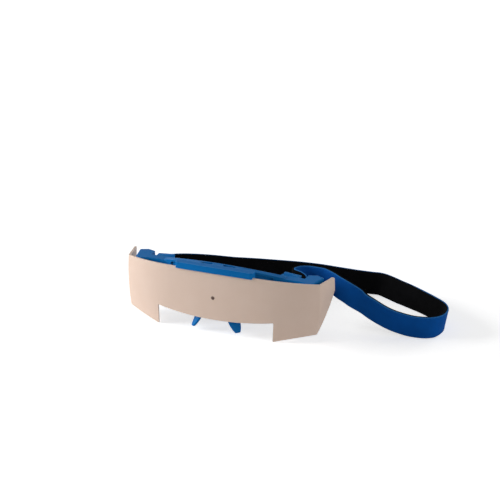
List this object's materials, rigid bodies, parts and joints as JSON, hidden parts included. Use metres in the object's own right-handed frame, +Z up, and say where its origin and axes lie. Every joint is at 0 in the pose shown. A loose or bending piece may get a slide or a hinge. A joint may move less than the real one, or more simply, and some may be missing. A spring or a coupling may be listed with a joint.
{
  "type": "view limiting training glasses",
  "caption": "Brow-worn training glasses with a curved opaque flip-up shield, a stepped notch under it for seeing down only, a nose piece and a fabric head strap.",
  "frame": {"origin": "middle of the brow frame's rear face, where it rests on the brow", "axes": "+X along the brow, +Y towards the wearer's head, +Z up"},
  "size_m": [0.2686, 0.1428, 0.0606],
  "materials": {
    "blue_plastic": "satin moulded ABS",
    "nose_plastic": "satin moulded, slightly soft",
    "pin_steel": "drawn wire",
    "white_plastic": "satin moulded sheet",
    "blue_webbing": "woven nylon webbing",
    "black_lining": "brushed plush lining",
    "black_hook": "hook tape"
  },
  "bodies": {
    "headset": {"brow_frame": "blue_plastic", "nose_piece": "nose_plastic", "hinge_pin": "pin_steel", "strap_webbing": "blue_webbing", "strap_lining": "black_lining", "hook_patch": "black_hook"},
    "flip_shield": {"hinge_bar": "blue_plastic", "shield": "white_plastic", "shield_pins": "pin_steel"}
  },
  "joints": [
    {"name": "shield_flip", "type": "hinge", "parent": "headset", "child": "flip_shield", "pos_m": [0, -0.0041, 0.0024], "axis": [-1, 0, 0], "range_deg": [0, 95]}
  ]
}
